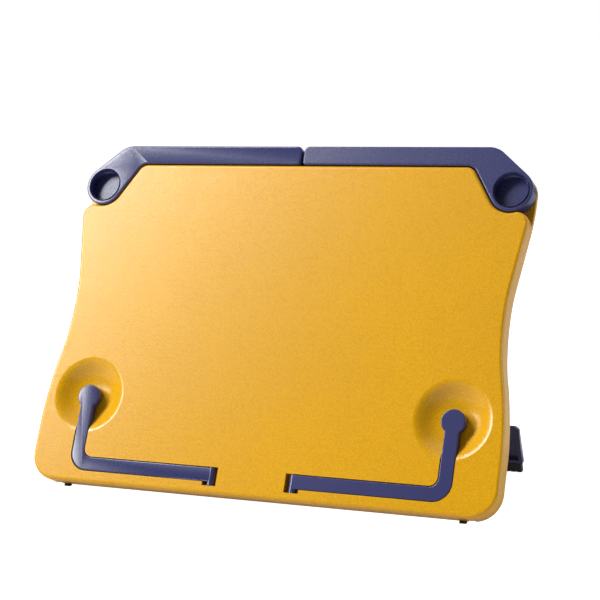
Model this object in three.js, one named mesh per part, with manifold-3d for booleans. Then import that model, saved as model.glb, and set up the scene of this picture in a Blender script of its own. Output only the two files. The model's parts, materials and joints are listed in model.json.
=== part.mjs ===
// Folding book stand: a moulded reading board with two swing-up top arms, two
// swing-out page holders and a wide rear leg on a click hinge.
// Millimetres, +Z up, the reading face looks towards -Y.
// The stand stands on the pads under the board's rear edge and on the leg's shoes.

import * as THREE from 'three';
import { mergeVertices } from 'three/addons/utils/BufferGeometryUtils.js';
import Module from 'manifold-3d';

const wasm = await Module();
wasm.setup();

// ---- driving dimensions -------------------------------------------------
const BOARD_LEAN = THREE.MathUtils.degToRad(24); // board from the vertical
const LEG_LEAN = THREE.MathUtils.degToRad(16.5); // leg from the vertical, the other way

const BOARD_HEIGHT = 238.2;
const BOARD_DEPTH = 15;
const FRONT_DEPTH = 10;      // depth of the front moulding and of the top arms
const SKIN = 2.2;            // wall of the two mouldings
const GAP = 0.3;             // clearance between separate pieces
const FRONT_EDGE = 2.4;      // rounding of the reading face's edge
const CORNER = 18;           // bottom corners of the board
const BOARD_HALF = 161.8;    // widest half-width, at the bottom corners

const HUB = { x: 146.2, z: 209 };  // pivot of the right top arm
const HUB_RADIUS = 14.2;
const HUB_RECESS = { rim: 11.4, floor: 10.5, depth: 7 };
const ARM_CLEARANCE = 0.6;   // gap between a top arm and the front panel
const PANEL_TOP = 224.6;     // top edge of the front panel
const INNER_SLOPE = THREE.MathUtils.degToRad(58.5); // inner side of an arm's elbow
const OUTER_SLOPE = THREE.MathUtils.degToRad(41);   // outer side of an arm's elbow
const SPIGOT = { radius: 5.5, end: 12.8 };          // an arm's axle, through the rear shell
const ARM_STRIP = { from: 6, to: 116, wall: 2.4 };  // hollow of an arm's long strip
const WASHER = { radius: 9, front: 13.3, back: 13.9, seat: 13 };

const DISH = { x: 127.5, z: 59.2, radius: 24.7, depth: 7.4 };
const HOLDER = {
  depth: 5.3, floor: 5.9, hingeX: 28.5, hingeY: 2.8, barrel: 2.65,
  barZ: 12.5, barHalf: 4.5, legX: 127.8, legHalf: 4.6, bend: 12.5, knob: 7.8,
};
const SLOT_CLEARANCE = 0.4;
const PIN_RADIUS = 1;
const WALL = 1.6;            // inner walls of the two mouldings

const HINGE = { y: 9.9, z: 215, radius: 4.8 };      // leg hinge, in the board
const LEG = { thick: 5, top: 38, waist: 32, half: 136, barTall: 31, fillet: 22 };
const LEG_FRONT = -0.1;      // front face of the leg plate from the hinge axis
const SHOE = { tall: 6.5, from: 92, to: 134.4 };
const RECESS_FLOOR = 9.5;    // floor of the leg's recess in the rear shell
const RECESS_BELOW = 3.9;    // the recess reaches this far below the leg plate, for the shoes
const RECESS_SPREAD = 0.7;   // and this far outside it all round
const ROD = { radius: 1.5, half: 57.6 };
const POCKET = { half: 54.2, below: 5.4, above: 5.25, front: 0.35 }; // round the leg hinge
const KNUCKLE = { from: 19, to: 39.2 };             // along X, at both ends of the leg's top
const DISC = { from: 41.6, to: 44.8 };
const SPRING = { from: 45.8, to: 53, radius: 3.2, wire: 0.5, turns: 4 };
const TEETH = { count: 6, half: 0.4, reach: 0.8 };  // ridges across the knuckles and discs

const PAD = { from: 136, to: 140.5, drop: 0.8, front: 12.4, back: 14.6 }; // pads under the board
const PAD_TOP = 1.3;
const SHELL_SCREW = { tip: 6, seat: 13.1, head: 14.9, shank: 1.3, headRadius: 3.1, boss: 5 };
const ARM_SCREW = { tip: 8.6, seat: 14.2, head: 14.95, shank: 1.3, headRadius: 3.4 };
const SHELL_SCREWS = [[150, 17], [141, 104], [143, 161], [80, 214], [66, 52]];

// ---- colours ------------------------------------------------------------
const finish = (color, roughness, metalness) =>
  new THREE.MeshStandardMaterial({ color, roughness, metalness });
const YELLOW = () => finish(0xe3a928, 0.55, 0);
const BLUE = () => finish(0x42457a, 0.5, 0);
const STEEL = () => finish(0xb9bcc0, 0.35, 1);
const RUBBER = () => finish(0x1d1e22, 0.85, 0);
const WHITE = () => finish(0xe6e4dc, 0.45, 0);

// ---- making solids ------------------------------------------------------
// A closed geometry as a solid that can be joined and cut.
function solid(geometry) {
  geometry.deleteAttribute('normal');
  geometry.deleteAttribute('uv');
  const merged = mergeVertices(geometry, 1e-4);
  return new wasm.Manifold(new wasm.Mesh({
    numProp: 3,
    vertProperties: merged.attributes.position.array,
    triVerts: new Uint32Array(merged.index.array),
  }));
}

// The finished solid as a named mesh.
function piece(name, body, material) {
  const result = body.asOriginal().simplify(0.005).getMesh();
  const geometry = new THREE.BufferGeometry();
  geometry.setAttribute('position', new THREE.BufferAttribute(result.vertProperties, 3));
  geometry.setIndex(new THREE.BufferAttribute(result.triVerts, 1));
  geometry.computeVertexNormals();
  const mesh = new THREE.Mesh(geometry, material);
  mesh.name = name;
  return mesh;
}

// A plate whose outline lies in the XZ plane, from front to back along Y.
// grow moves the outline outwards, or inwards if it is negative.
function plate(shape, front, back, grow = 0, curveSegments = 8) {
  const geometry = new THREE.ExtrudeGeometry(shape, {
    depth: back - front,
    curveSegments,
    bevelEnabled: true,
    bevelSegments: 0,
    bevelThickness: 0,
    bevelSize: 0,
    bevelOffset: grow,
  });
  geometry.rotateX(Math.PI / 2);
  geometry.translate(0, back, 0);
  return solid(geometry);
}

// A plate with a rounded edge all round its front face.
function roundedPlate(shape, front, back, radius, curveSegments = 8) {
  const geometry = new THREE.ExtrudeGeometry(shape, {
    depth: back - front - radius + 1,
    curveSegments,
    bevelEnabled: true,
    bevelSegments: 3,
    bevelThickness: radius,
    bevelSize: radius,
    bevelOffset: -radius,
  });
  geometry.rotateX(Math.PI / 2);
  geometry.translate(0, back + 1, 0);
  return solid(geometry).subtract(block([-400, 400], [back, back + 50], [-400, 400]));
}

function block(x, y, z) {
  const geometry = new THREE.BoxGeometry(x[1] - x[0], y[1] - y[0], z[1] - z[0]);
  geometry.translate((x[0] + x[1]) / 2, (y[0] + y[1]) / 2, (z[0] + z[1]) / 2);
  return solid(geometry);
}

// A round bar along 'x', 'y' or 'z', between two places on that axis.
function bar(axis, from, to, radius, at, sides = 24) {
  const geometry = new THREE.CylinderGeometry(radius, radius, to - from, sides);
  const middle = (from + to) / 2;
  if (axis === 'x') geometry.rotateZ(-Math.PI / 2).translate(middle, at[0], at[1]);
  if (axis === 'y') geometry.translate(at[0], middle, at[1]);
  if (axis === 'z') geometry.rotateX(Math.PI / 2).translate(at[0], at[1], middle);
  return solid(geometry);
}

// A round body turned about a line parallel to Y: profile points are [radius, y].
function turnedAlongY(profile, at, sides = 32) {
  const points = profile.map(([radius, y]) => new THREE.Vector2(radius, y));
  const geometry = new THREE.LatheGeometry(points, sides);
  geometry.translate(at[0], 0, at[1]);
  return solid(geometry);
}

const mirrored = (body) => body.mirror([1, 0, 0]);

// A closed outline from points, without the ones that nearly repeat their neighbour.
function outlineOf(points) {
  const apart = (p, i) => p.distanceTo(points[(i + 1) % points.length]) > 0.05;
  return new THREE.Shape(points.filter(apart));
}

// Both halves of an outline from the points of its right half, bottom to top.
function symmetric(half) {
  const left = half.map((p) => new THREE.Vector2(-p.x, p.y)).reverse();
  const seam = (p) => Math.abs(p.x) > 1e-6;
  return outlineOf([...half, ...left.filter(seam)]);
}

// ---- outlines -----------------------------------------------------------
// The waisted side of the board, from the bottom middle up to the hub.
function lowerHalf() {
  const path = new THREE.Path();
  path.moveTo(0, 0);
  path.lineTo(BOARD_HALF - CORNER, 0);
  path.absarc(BOARD_HALF - CORNER, CORNER, CORNER, -Math.PI / 2, 0, false);
  const side = [[160.6, 48], [156.6, 78], [151.6, 102], [150.4, 118], [152, 141], [156.4, 164]];
  path.splineThru([...side, [159.9, 181]].map(([x, z]) => new THREE.Vector2(x, z)));
  return path;
}

// A line that leaves a circle about the hub at a tangent: where it touches.
function tangentPoint(radius, angle) {
  return [HUB.x + radius * Math.cos(angle), HUB.z + radius * Math.sin(angle)];
}

const INNER_TOUCH = Math.PI + Math.PI / 2 - INNER_SLOPE; // angle of the inner tangent
const OUTER_TOUCH = Math.PI / 2 - OUTER_SLOPE;           // angle of the outer tangent

function frontOutline() {
  const path = lowerHalf();
  const radius = HUB_RADIUS + ARM_CLEARANCE;
  path.quadraticCurveTo(161.4, 190.5, 155.4, 193.6);
  path.absarc(HUB.x, HUB.z, radius, -1.03, INNER_TOUCH - 2 * Math.PI, true);
  const [x, z] = tangentPoint(radius, INNER_TOUCH);
  const reach = x - (PANEL_TOP - z) / Math.tan(INNER_SLOPE);
  const cut = 4;
  path.lineTo(reach + cut * Math.cos(INNER_SLOPE), PANEL_TOP - cut * Math.sin(INNER_SLOPE));
  path.quadraticCurveTo(reach, PANEL_TOP, reach - cut, PANEL_TOP);
  path.lineTo(0, PANEL_TOP);
  return symmetric(path.getPoints(4));
}

// The top of the board outside the arms: hub circle, elbow and top edge.
function overHub(path, end) {
  const [x, z] = tangentPoint(HUB_RADIUS, OUTER_TOUCH);
  const reach = x - (BOARD_HEIGHT - z) / Math.tan(OUTER_SLOPE);
  const cut = 5;
  path.lineTo(reach + cut * Math.cos(OUTER_SLOPE), BOARD_HEIGHT - cut * Math.sin(OUTER_SLOPE));
  path.quadraticCurveTo(reach, BOARD_HEIGHT, reach - cut, BOARD_HEIGHT);
  path.lineTo(end, BOARD_HEIGHT);
}

function rearOutline() {
  const path = lowerHalf();
  path.absarc(HUB.x, HUB.z, HUB_RADIUS, 0, OUTER_TOUCH, false);
  overHub(path, 0);
  return symmetric(path.getPoints(4));
}

function armOutline() {
  const path = new THREE.Path();
  const middle = 0.8;
  const lower = PANEL_TOP + ARM_CLEARANCE;
  const end = 3.4;
  path.moveTo(middle, lower + 2.4);
  path.quadraticCurveTo(middle, lower, middle + 2.4, lower);
  const [x, z] = tangentPoint(HUB_RADIUS, INNER_TOUCH);
  const reach = x - (lower - z) / Math.tan(INNER_SLOPE);
  const cut = 4;
  path.lineTo(reach - cut, lower);
  path.quadraticCurveTo(
    reach, lower, reach + cut * Math.cos(INNER_SLOPE), lower - cut * Math.sin(INNER_SLOPE));
  path.absarc(HUB.x, HUB.z, HUB_RADIUS, INNER_TOUCH, OUTER_TOUCH + 2 * Math.PI, false);
  overHub(path, middle + end);
  path.quadraticCurveTo(middle, BOARD_HEIGHT, middle, BOARD_HEIGHT - end);
  return outlineOf(path.getPoints(6));
}

// The L of a page holder, from its hinge end out to the bend and up to the knob.
function holderOutline() {
  const path = new THREE.Path();
  const { hingeX, barZ, barHalf, legX, legHalf, bend, knob } = HOLDER;
  const inner = bend - 2 * barHalf + 2;
  path.moveTo(hingeX, barZ - barHalf);
  path.lineTo(legX + legHalf - bend, barZ - barHalf);
  path.absarc(legX + legHalf - bend, barZ - barHalf + bend, bend, -Math.PI / 2, 0, false);
  const neck = Math.asin(legHalf / knob);
  path.absarc(legX, DISH.z - 1, knob, neck - Math.PI / 2, 1.5 * Math.PI - neck, false);
  path.lineTo(legX - legHalf, barZ + barHalf + inner);
  path.absarc(legX - legHalf - inner, barZ + barHalf + inner, inner, 0, -Math.PI / 2, true);
  path.lineTo(hingeX, barZ + barHalf);
  return outlineOf(path.getPoints(5));
}

// The leg plate in its own frame: hinge axis at the origin, foot at the bottom.
// below lengthens the foot bar downwards and leaves its top edge where it is.
function legOutline(below = 0) {
  const path = new THREE.Path();
  const { top, waist, half, barTall, fillet } = LEG;
  const bottom = LEG_BOTTOM - below;
  const barTop = LEG_BOTTOM + barTall;
  const corner = 3;
  path.moveTo(0, bottom);
  path.lineTo(half - corner, bottom);
  path.quadraticCurveTo(half, bottom, half, bottom + corner);
  path.lineTo(half - 1.5, barTop - corner);
  path.quadraticCurveTo(half - 1.5, barTop, half - 1.5 - corner, barTop);
  path.lineTo(waist + fillet, barTop);
  path.absarc(waist + fillet, barTop + fillet, fillet, -Math.PI / 2, -Math.PI, true);
  path.lineTo(top, -20);
  path.lineTo(top, 0);
  path.lineTo(0, 0);
  return symmetric(path.getPoints(6));
}

// ---- where the ground is ------------------------------------------------
// Height above the ground of a point of the board, given along its depth and height.
const GROUND = PAD.back * Math.sin(BOARD_LEAN) + PAD.drop * Math.cos(BOARD_LEAN);
const height = (y, z) => GROUND + z * Math.cos(BOARD_LEAN) - y * Math.sin(BOARD_LEAN);
const HINGE_HEIGHT = height(HINGE.y, HINGE.z);
// The ground, seen from the leg: how far down it is at a place y on the leg's depth.
const groundUnderLeg = (y) => -(HINGE_HEIGHT + y * Math.sin(LEG_LEAN)) / Math.cos(LEG_LEAN);
const groundUnderBoard = (y) => (y * Math.sin(BOARD_LEAN) - GROUND) / Math.cos(BOARD_LEAN);
const LEG_BOTTOM = groundUnderLeg(LEG_FRONT) + 2.6; // the shoes stand prouder than the plate

// ---- the two mouldings --------------------------------------------------
// The finger dish's hollow, or with wall > 0 the bowl around it.
function dish(wall = 0) {
  const { radius, depth } = DISH;
  const steps = 6;
  const profile = [[0, -1 - wall], [radius + wall, -1 - wall]];
  for (let i = 0; i <= steps; i += 1) {
    const turn = (i / steps) * (Math.PI / 2);
    const across = radius * Math.cos(turn) ** 0.8;
    profile.push([across + wall * Math.cos(turn), depth * Math.sin(turn) ** 1.3 + wall * (i > 0)]);
  }
  profile[profile.length - 1][0] = 0;
  return turnedAlongY(profile, [DISH.x, DISH.z], 32);
}

function holderSlot(grow) {
  return plate(holderOutline(), -1, HOLDER.floor, grow);
}

// The pocket at a page holder's hinge end, longer than the bar is tall.
function hingePocket() {
  const { hingeX, barZ, barHalf, floor } = HOLDER;
  const tall = [barZ - barHalf - 2.8, barZ + barHalf + 0.5];
  return block([hingeX - 4.9, hingeX + 5], [-1, floor], tall);
}

function screwBoss(x, z) {
  return bar('y', SKIN - 0.5, FRONT_DEPTH, 3.8, [x, z], 20);
}

function frontHalfDetails() {
  const rim = block([-1, 200], [0.4, 50], [-20, 260]);
  const bosses = SHELL_SCREWS.map(([x, z]) => screwBoss(x, z));
  const back = HOLDER.floor + WALL;
  const slotWalls = plate(holderOutline(), 0.5, back, SLOT_CLEARANCE + WALL);
  const pinBlock = block([23, 34], [0.5, back], [1, 23.6]);
  const add = [dish(WALL).intersect(rim), slotWalls, pinBlock, ...bosses];
  const pinHole = bar('z', 2.1, 22.9, PIN_RADIUS + GAP, [HOLDER.hingeX, HOLDER.hingeY], 16);
  const pilots = SHELL_SCREWS.map(([x, z]) => bar('y', 5.6, FRONT_DEPTH + 1, 1.6, [x, z], 12));
  const cut = [dish(), holderSlot(SLOT_CLEARANCE), hingePocket(), pinHole, ...pilots];
  return { add, cut };
}

function frontPanel() {
  const outline = frontOutline();
  let body = roundedPlate(outline, 0, FRONT_DEPTH, FRONT_EDGE);
  body = body.subtract(plate(outline, SKIN, FRONT_DEPTH + 1, -SKIN));
  const { add, cut } = frontHalfDetails();
  const within = plate(outline, 0.4, FRONT_DEPTH, -0.8);
  for (const part of add) {
    body = body.add(part.intersect(within)).add(mirrored(part).intersect(within));
  }
  for (const hole of cut) {
    body = body.subtract(hole).subtract(mirrored(hole));
  }
  return piece('front_panel', body, YELLOW());
}

function rearShell() {
  const outline = rearOutline();
  const inside = frontOutline();
  const front = FRONT_DEPTH + GAP;
  let body = roundedPlate(outline, 0, BOARD_DEPTH - front, FRONT_EDGE * 0.8);
  body = body.mirror([0, 1, 0]).translate([0, BOARD_DEPTH, 0]);
  body = body.subtract(plate(inside, front - 1, BOARD_DEPTH - 1.8, -SKIN - 0.4));
  const leg = legOutline(RECESS_BELOW);
  const tray = plate(leg, RECESS_FLOOR - WALL, BOARD_DEPTH - 1, RECESS_SPREAD + WALL);
  const recess = plate(leg, RECESS_FLOOR, BOARD_DEPTH + 1, RECESS_SPREAD);
  const { y, z, radius } = HINGE;
  const hingeBlock = block([-60, 60], [y - radius - 1.9, BOARD_DEPTH], [z - 6.8, z + 6.8]);
  const room = plate(inside, SKIN + GAP, front + 0.1, -SKIN - GAP)
    .add(plate(inside, front, BOARD_DEPTH, -1));
  body = body.add(tray.translate([0, 0, HINGE.z]).add(hingeBlock).intersect(room));
  for (const [x, up] of SHELL_SCREWS) {
    const boss = bar('y', front, BOARD_DEPTH, SHELL_SCREW.boss, [x, up]);
    body = body.add(boss).add(mirrored(boss));
  }
  body = body.subtract(recess.translate([0, 0, HINGE.z]));
  const { half, below, above } = POCKET;
  const deep = [y - radius - POCKET.front, BOARD_DEPTH + 1];
  body = body.subtract(block([-half, half], deep, [z - below, z + above]));
  body = body.subtract(bar('x', -ROD.half - 0.4, ROD.half + 0.4, ROD.radius + GAP, [y, z], 16));
  const cuts = SHELL_SCREWS.flatMap(([x, up]) => [
    bar('y', front - 1, BOARD_DEPTH, 1.7, [x, up], 12),
    bar('y', SHELL_SCREW.seat - GAP, BOARD_DEPTH + 1, SHELL_SCREW.headRadius + 0.4, [x, up], 20),
  ]);
  cuts.push(bar('y', front - 1, BOARD_DEPTH, SPIGOT.radius + GAP, [HUB.x, HUB.z], 28));
  cuts.push(bar('y', WASHER.seat, BOARD_DEPTH + 1, WASHER.radius + 0.6, [HUB.x, HUB.z], 32));
  const { from, to } = PAD;
  cuts.push(block([from - GAP, to + GAP], [PAD.front - GAP, PAD.back + GAP], [-2, PAD_TOP + GAP]));
  cuts.push(block([to + 1.2, to + 6], [front - 1, BOARD_DEPTH + 5], [-2, 1.5]));
  for (const cut of cuts) {
    body = body.subtract(cut).subtract(mirrored(cut));
  }
  return piece('rear_shell', body, YELLOW());
}

// ---- top arms -----------------------------------------------------------
function topArm() {
  const { rim, floor, depth } = HUB_RECESS;
  const at = [HUB.x, HUB.z];
  let body = roundedPlate(armOutline(), 0, FRONT_DEPTH, 1.2);
  const recess = [[0, -1], [rim + 0.2, -1], [rim, 0.4], [floor, depth], [0, depth]];
  body = body.subtract(turnedAlongY(recess, at, 40));
  body = body.add(bar('y', FRONT_DEPTH - 0.5, SPIGOT.end, SPIGOT.radius, at, 28));
  body = body.subtract(bar('y', ARM_SCREW.tip - 0.4, SPIGOT.end + 1, ARM_SCREW.shank + GAP, at, 12));
  // The long strip is a channel, open at the back, with cross ribs.
  const { from, to, wall } = ARM_STRIP;
  const tall = [PANEL_TOP + ARM_CLEARANCE + wall, BOARD_HEIGHT - wall];
  body = body.subtract(block([from, to], [wall, FRONT_DEPTH + 1], tall));
  const ribs = 4;
  for (let i = 1; i <= ribs; i += 1) {
    const x = from + (i * (to - from)) / (ribs + 1);
    body = body.add(block([x - 0.8, x + 0.8], [wall - 0.4, FRONT_DEPTH - 1], tall));
  }
  return body;
}

function armWasher() {
  const at = [HUB.x, HUB.z];
  const hole = bar('y', WASHER.front - 1, WASHER.back + 1, ARM_SCREW.shank + 0.6, at, 12);
  return bar('y', WASHER.front, WASHER.back, WASHER.radius, at, 28).subtract(hole);
}

// A pan-head screw driven from the back: shank towards the front.
function screw(at, { tip, seat, head, shank, headRadius }) {
  const crown = head - 0.4;
  return turnedAlongY([
    [0, tip], [shank * 0.5, tip], [shank, tip + 1], [shank, seat],
    [headRadius, seat], [headRadius, crown], [headRadius - 0.5, head], [0, head],
  ], at, 16);
}

// ---- page holders -------------------------------------------------------
function pageHolder() {
  const { depth, hingeX, hingeY, barrel, barZ, barHalf, legX } = HOLDER;
  const face = 0.15; // a hair behind the reading face
  let body = roundedPlate(holderOutline(), face, face + depth, 0.8);
  const ends = [barZ - barHalf - 2.4, barZ + barHalf + 0.1];
  body = body.add(bar('z', ...ends, barrel, [hingeX, hingeY]));
  body = body.subtract(bar('z', 0, 30, PIN_RADIUS + GAP, [hingeX, hingeY], 16));
  // Shallow ring round the knob's face.
  const at = [legX, DISH.z - 1];
  const ring = bar('y', -1, 0.5, 5.6, at, 32).subtract(bar('y', -2, 1, 4.6, at, 32));
  return body.subtract(ring);
}

function holderPin() {
  return bar('z', 2.4, 22.6, PIN_RADIUS, [HOLDER.hingeX, HOLDER.hingeY], 16);
}

// ---- rear leg, in its own frame -----------------------------------------
function rearLeg() {
  const outline = legOutline();
  const back = LEG_FRONT + LEG.thick;
  const barTop = LEG_BOTTOM + LEG.barTall;
  const wall = 2.4;
  let body = roundedPlate(outline, 0, LEG.thick, 1.2).mirror([0, 1, 0]).translate([0, back, 0]);
  // Hollow towards the board, with ribs left standing.
  let hollow = plate(outline, LEG_FRONT - 1, back - 2, -wall);
  hollow = hollow.subtract(block([-90, 90], [-3, 9], [-12, 2]));
  for (const z of [-55, -100, -145]) {
    hollow = hollow.subtract(block([-60, 60], [-3, 9], [z - 0.9, z + 0.9]));
  }
  for (const x of [-98, -66, -32, 0, 32, 66, 98]) {
    const top = Math.abs(x) < 40 && x !== 0 ? barTop + 8 : barTop;
    hollow = hollow.subtract(block([x - 0.9, x + 0.9], [-3, 9], [LEG_BOTTOM, top]));
  }
  hollow = hollow.subtract(block([-34, 34], [-3, 9], [barTop - 1, barTop + 1]));
  hollow = hollow.subtract(block([-140, 140], [-3, 9], [LEG_BOTTOM - 1, LEG_BOTTOM + 6.4]));
  body = body.subtract(hollow);
  // Knuckles at both ends of the top, with face teeth on their outer ends.
  const { radius } = HINGE;
  const top = block([-KNUCKLE.from, KNUCKLE.from], [-6, 6], [-7.5, 7]);
  body = body.subtract(block([-60, 60], [-6, LEG_FRONT - 0.01], [-9, 9])).subtract(top);
  const knuckle = bar('x', KNUCKLE.from, KNUCKLE.to, radius, [0, 0], 28)
    .add(teeth(KNUCKLE.to - 0.2, KNUCKLE.to + TEETH.reach + 0.2, radius - 0.2, 0));
  body = body.add(knuckle).add(mirrored(knuckle));
  body = body.subtract(bar('x', -60, 60, ROD.radius + GAP, [0, 0], 16));
  // The foot bar is thinner at its top edge than at the bottom.
  const taper = new THREE.Shape([
    new THREE.Vector2(LEG_FRONT - 2, barTop + 2), new THREE.Vector2(LEG_FRONT - 2, barTop - 22),
    new THREE.Vector2(LEG_FRONT, barTop - 22), new THREE.Vector2(back - 2.6, barTop + 2)]);
  const wedge = alongX(taper, LEG.waist + 30, LEG.half + 5);
  body = body.subtract(wedge).subtract(mirrored(wedge));
  // Seats for the shoes at both ends of the bottom edge.
  const seat = block([SHOE.from - GAP, 150], [-3, 9], [LEG_BOTTOM - 9, shoeTop() + GAP]);
  const cheek = block([SHOE.to + GAP, 150], [-3, 9], [LEG_BOTTOM - 9, shoeTop() + 1]);
  return body.subtract(seat).subtract(mirrored(seat)).subtract(cheek).subtract(mirrored(cheek));
}

// Ridges across a knuckle's or a disc's end face, evenly turned about the hinge axis.
function teeth(from, to, radius, turn) {
  let ridges = block([from, to], [-radius, radius], [-TEETH.half, TEETH.half]);
  ridges = ridges.rotate([turn, 0, 0]);
  const one = ridges;
  for (let i = 1; i < TEETH.count; i += 1) {
    ridges = ridges.add(one.rotate([(i * 180) / TEETH.count, 0, 0]));
  }
  return ridges;
}

// A prism along X from a profile drawn as (y, z).
function alongX(profile, from, to) {
  const geometry = new THREE.ExtrudeGeometry(profile, { depth: to - from, bevelEnabled: false });
  geometry.applyMatrix4(new THREE.Matrix4().set(
    0, 0, 1, from,
    1, 0, 0, 0,
    0, 1, 0, 0,
    0, 0, 0, 1));
  return solid(geometry);
}

const shoeTop = () => groundUnderLeg(LEG_FRONT) + SHOE.tall;

// A rubber shoe whose sole lies flat on the ground.
function footShoe() {
  const back = LEG_FRONT + LEG.thick;
  const profile = new THREE.Shape([
    new THREE.Vector2(LEG_FRONT, shoeTop()),
    new THREE.Vector2(LEG_FRONT, groundUnderLeg(LEG_FRONT)),
    new THREE.Vector2(back, groundUnderLeg(back)),
    new THREE.Vector2(back, shoeTop())]);
  return alongX(profile, SHOE.from, SHOE.to);
}

// A pad let into the rear shell's bottom edge, cut to lie flat on the ground.
function basePad() {
  const { front, back } = PAD;
  const profile = new THREE.Shape([
    new THREE.Vector2(front, PAD_TOP),
    new THREE.Vector2(front, groundUnderBoard(front)),
    new THREE.Vector2(back, groundUnderBoard(back)),
    new THREE.Vector2(back, PAD_TOP)]);
  return alongX(profile, PAD.from, PAD.to);
}

// ---- click hinge --------------------------------------------------------
function clickDisc() {
  const radius = HINGE.radius - 0.2;
  let body = bar('x', DISC.from, DISC.to, radius, [0, 0], 28);
  body = body.add(teeth(DISC.from - TEETH.reach, DISC.from + 0.4, radius - 0.2, 90 / TEETH.count));
  // A key on top keeps the disc from turning in its pocket.
  body = body.add(block([DISC.from + 1, DISC.to], [-2.2, 2.2], [radius - 1.1, radius + 0.35]));
  return body.subtract(bar('x', 30, 60, ROD.radius + GAP, [0, 0], 16));
}

// The helix of a compression spring along X.
class Helix extends THREE.Curve {
  getPoint(t, target = new THREE.Vector3()) {
    const { from, to, radius, turns } = SPRING;
    const angle = t * turns * 2 * Math.PI;
    const x = from + t * (to - from);
    return target.set(x, radius * Math.cos(angle), radius * Math.sin(angle));
  }
}

function clickSpring() {
  const wire = new THREE.Shape().absarc(0, 0, SPRING.wire, 0, 2 * Math.PI, false);
  const geometry = new THREE.ExtrudeGeometry(wire, {
    steps: 44, curveSegments: 3, extrudePath: new Helix(), bevelEnabled: false,
  });
  return solid(geometry);
}

function hingeRod() {
  return bar('x', -ROD.half, ROD.half, ROD.radius, [0, 0], 16);
}

// ---- assembly -----------------------------------------------------------
const board = new THREE.Group();
board.rotation.x = -BOARD_LEAN;
board.add(frontPanel(), rearShell());

// Adds the right-hand piece and its mirror image, named left_ and right_.
function addPair(group, name, body, material) {
  group.add(piece(`right_${name}`, body, material()));
  group.add(piece(`left_${name}`, mirrored(body), material()));
}

addPair(board, 'top_arm', topArm(), BLUE);
addPair(board, 'arm_washer', armWasher(), STEEL);
addPair(board, 'arm_screw', screw([HUB.x, HUB.z], ARM_SCREW), STEEL);
addPair(board, 'page_holder', pageHolder(), BLUE);
addPair(board, 'holder_pin', holderPin(), STEEL);
addPair(board, 'base_pad', basePad(), RUBBER);
SHELL_SCREWS.forEach((at, index) => {
  addPair(board, `shell_screw_${index + 1}`, screw(at, SHELL_SCREW), STEEL);
});

const hinge = new THREE.Group();
hinge.position.set(0, HINGE.y, HINGE.z);
hinge.add(piece('leg_hinge_rod', hingeRod(), STEEL()));
addPair(hinge, 'click_disc', clickDisc(), WHITE);
addPair(hinge, 'click_spring', clickSpring(), STEEL);

const leg = new THREE.Group();
leg.rotation.x = BOARD_LEAN + LEG_LEAN;
leg.add(piece('rear_leg', rearLeg(), BLUE()));
addPair(leg, 'foot_shoe', footShoe(), RUBBER);
hinge.add(leg);
board.add(hinge);

// The origin is on the ground, under the middle of the whole stand.
const stand = new THREE.Group();
stand.add(board);
const extent = new THREE.Box3().setFromObject(stand, true);
board.position.set(0, -(extent.min.y + extent.max.y) / 2, GROUND);

export default stand;
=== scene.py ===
# Folding book stand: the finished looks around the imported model.
import json
import math

import bpy
from mathutils import Matrix, Vector


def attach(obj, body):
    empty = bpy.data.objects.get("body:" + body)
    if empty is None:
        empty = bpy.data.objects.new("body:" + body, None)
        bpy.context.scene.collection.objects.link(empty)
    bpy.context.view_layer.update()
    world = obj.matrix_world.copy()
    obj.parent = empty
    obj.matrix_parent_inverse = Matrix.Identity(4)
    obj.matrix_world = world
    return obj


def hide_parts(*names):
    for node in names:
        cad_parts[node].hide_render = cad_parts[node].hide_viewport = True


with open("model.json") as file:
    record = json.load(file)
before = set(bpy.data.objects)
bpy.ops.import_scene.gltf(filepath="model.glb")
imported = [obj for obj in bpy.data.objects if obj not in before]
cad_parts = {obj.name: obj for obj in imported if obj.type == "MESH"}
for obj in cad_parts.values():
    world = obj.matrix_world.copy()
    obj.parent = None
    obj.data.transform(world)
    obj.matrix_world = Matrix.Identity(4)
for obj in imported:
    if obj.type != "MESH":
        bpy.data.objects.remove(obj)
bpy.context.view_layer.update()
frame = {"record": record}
scene = bpy.context.scene

# ---- Camera, floor and light -------------------------------------------------------------
# A long lens a little to the right of the stand and low over the desk. The floor is a plain
# sheet that looks white to the lens; a tall soft box on the left rakes the reading face.
bpy.ops.object.camera_add(location=(0.4334, -1.0019, 0.2574))
camera = bpy.context.object
camera.rotation_euler = tuple(math.radians(turn) for turn in (82.96, 0.616, 23.178))
camera.data.sensor_width = 36
camera.data.lens = 99
scene.camera = camera
scene.view_settings.view_transform = "Standard"

bpy.ops.mesh.primitive_plane_add(size=70)
floor = bpy.context.object
floor.name = "floor"
paper = bpy.data.materials.new("pale_paper")
paper.use_nodes = True
sheet = paper.node_tree.nodes["Principled BSDF"].inputs
sheet["Base Color"].default_value = (0.6, 0.6, 0.6, 1)
sheet["Roughness"].default_value = 0.9
sheet["Emission Color"].default_value = (1, 1, 1, 1)
floor.data.materials.append(paper)


def soft_box(name, location, aim, width, height, watts):
    """A rectangular area light at location that faces aim."""
    bpy.ops.object.light_add(type="AREA", location=location)
    lamp = bpy.context.object
    lamp.name = name
    lamp.data.shape = "RECTANGLE"
    lamp.data.size = width
    lamp.data.size_y = height
    lamp.data.energy = watts
    lamp.rotation_euler = (Vector(aim) - Vector(location)).to_track_quat("-Z", "Y").to_euler()


soft_box("key_box", (-1.25, -0.84, 1.30), (0, -0.03, 0.11), 0.6, 1.5, 56)
soft_box("top_box", (0.2, 0.1, 2.2), (0, 0, 0), 1.6, 1.6, 6)
soft_box("side_box", (1.9, 0.35, 0.55), (0.1, 0, 0.1), 1.0, 1.4, 14)
soft_box("back_box", (0.5, 1.9, 1.0), (0, 0, 0.1), 1.4, 1.4, 16)

room = bpy.data.worlds.new("white_room")
scene.world = room
room.use_nodes = True
room.node_tree.nodes["Background"].inputs["Color"].default_value = (1, 1, 1, 1)


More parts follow.
